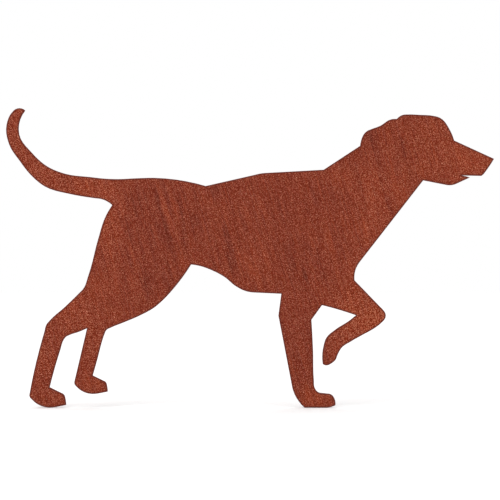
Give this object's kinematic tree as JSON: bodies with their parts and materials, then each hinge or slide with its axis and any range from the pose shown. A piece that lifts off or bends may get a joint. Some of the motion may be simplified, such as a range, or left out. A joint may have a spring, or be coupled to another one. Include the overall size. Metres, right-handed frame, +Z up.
{
  "type": "dog garden ornament",
  "caption": "Flat silhouette of a pointing dog with a raised foreleg and tail, cut from rusted steel sheet and held upright by its back face as a garden ornament.",
  "frame": {"origin": "on the flat back face, in the middle of the barrel, close above the balance point, where the sheet is fixed to a wall", "axes": "+X towards the nose, +Y out of the back face into the wall, +Z up; the front face looks towards -Y"},
  "size_m": [0.6, 0.003, 0.3683],
  "materials": {
    "rusted_steel": "matte brown-orange rust all over, bare and uncoated"
  },
  "bodies": {
    "root": {"dog_silhouette": "rusted_steel"}
  },
  "joints": []
}
